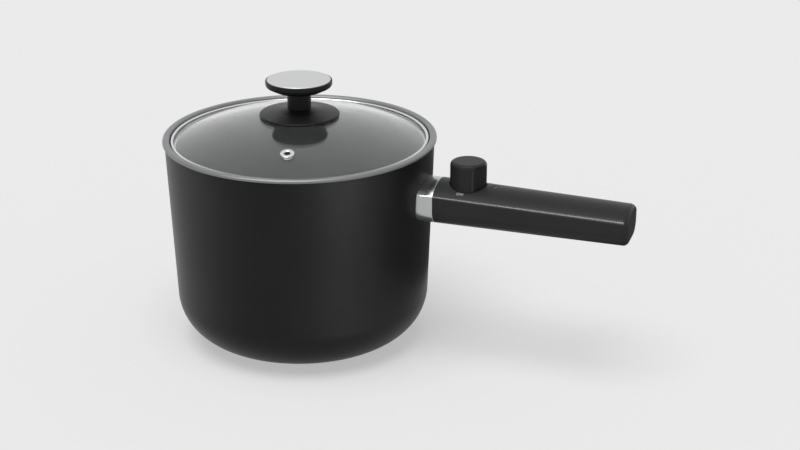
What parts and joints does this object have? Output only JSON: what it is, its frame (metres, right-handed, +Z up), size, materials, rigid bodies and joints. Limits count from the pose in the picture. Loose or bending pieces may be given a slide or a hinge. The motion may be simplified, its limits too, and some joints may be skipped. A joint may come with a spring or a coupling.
{
  "type": "electric hot pot with lid",
  "caption": "Black saucepan-shaped electric cooker with a grey inner vessel, long side handle with a rotary switch and steel collar, and lift-off domed glass lid with a mushroom knob.",
  "frame": {"origin": "centre of the foot ring's resting face, on the vessel's axis, at table height", "axes": "+X along the handle away from the vessel, +Z up along the vessel's axis"},
  "size_m": [0.3006, 0.1732, 0.1714],
  "materials": {
    "shell_plastic": "satin black",
    "handle_plastic": "fine satin black",
    "knob_plastic": "soft gloss black",
    "base_plastic": "matt black",
    "vessel_coating": "satin grey non-stick coat",
    "rubber_black": "matt",
    "silicone_grey": "matt silicone",
    "collar_steel": "polished",
    "rim_steel": "polished rolled band",
    "disc_steel": "fine brushed",
    "hardware_steel": "zinc plated",
    "sheath_steel": "heat tinted",
    "plate_aluminium": "as pressed",
    "contact_brass": "plain",
    "white_ceramic": "matt",
    "brown_resin": "moulded",
    "white_nylon": "moulded",
    "lead_sleeve": "glass-braid sleeve",
    "lens_red": "clear red",
    "lamp_glass": "clear",
    "lid_glass": "clear tempered"
  },
  "bodies": {
    "pot": {"outer_shell": "shell_plastic", "inner_pot": "vessel_coating", "rim_seal": "silicone_grey", "base_cover": "base_plastic", "ring_foot": "rubber_black", "base_screws": "hardware_steel", "heat_shield": "plate_aluminium", "standoffs": "hardware_steel", "heater_plate": "plate_aluminium", "heating_element": "sheath_steel", "element_seals": "white_ceramic", "element_pins": "hardware_steel", "thermostat_sensor": "plate_aluminium", "thermostat_body": "white_ceramic", "thermostat_blades": "contact_brass", "thermostat_bracket": "hardware_steel", "thermal_fuse": "white_ceramic", "fuse_clip": "hardware_steel", "plate_screws": "hardware_steel", "mounting_strap": "hardware_steel", "mounting_screws": "hardware_steel", "collar": "collar_steel", "handle_body": "handle_plastic", "handle_cover": "handle_plastic", "cover_screws": "hardware_steel", "lead_grommet": "rubber_black", "cord_gland": "rubber_black", "switch_body": "brown_resin", "switch_base": "brown_resin", "switch_blades": "contact_brass", "switch_nut": "hardware_steel", "indicator_lens": "lens_red", "indicator_lamp": "lamp_glass", "terminal_block": "white_nylon", "block_screw": "hardware_steel", "neutral_lead": "lead_sleeve", "thermostat_lead": "lead_sleeve", "feed_lead": "lead_sleeve", "link_lead": "lead_sleeve", "pin_lead": "lead_sleeve"},
    "dial": {"dial": "handle_plastic", "switch_shaft": "white_nylon"},
    "lid": {"lid_glass": "lid_glass", "lid_rim": "rim_steel", "vent_eyelet": "rim_steel", "knob_gasket": "silicone_grey", "knob_skirt": "knob_plastic", "knob_head": "knob_plastic", "knob_inlay": "disc_steel", "knob_insert": "contact_brass", "glass_gasket": "silicone_grey", "knob_washer": "hardware_steel", "knob_screw": "hardware_steel"}
  },
  "joints": [
    {"name": "lid_lift", "type": "slide", "parent": "pot", "child": "lid", "axis": [0, 0, 1], "range_m": [0, 0.15]},
    {"name": "dial_turn", "type": "hinge", "parent": "pot", "child": "dial", "pos_m": [0.1111, 0, 0.1118], "axis": [0, 0, 1], "range_deg": [0, 90]}
  ]
}
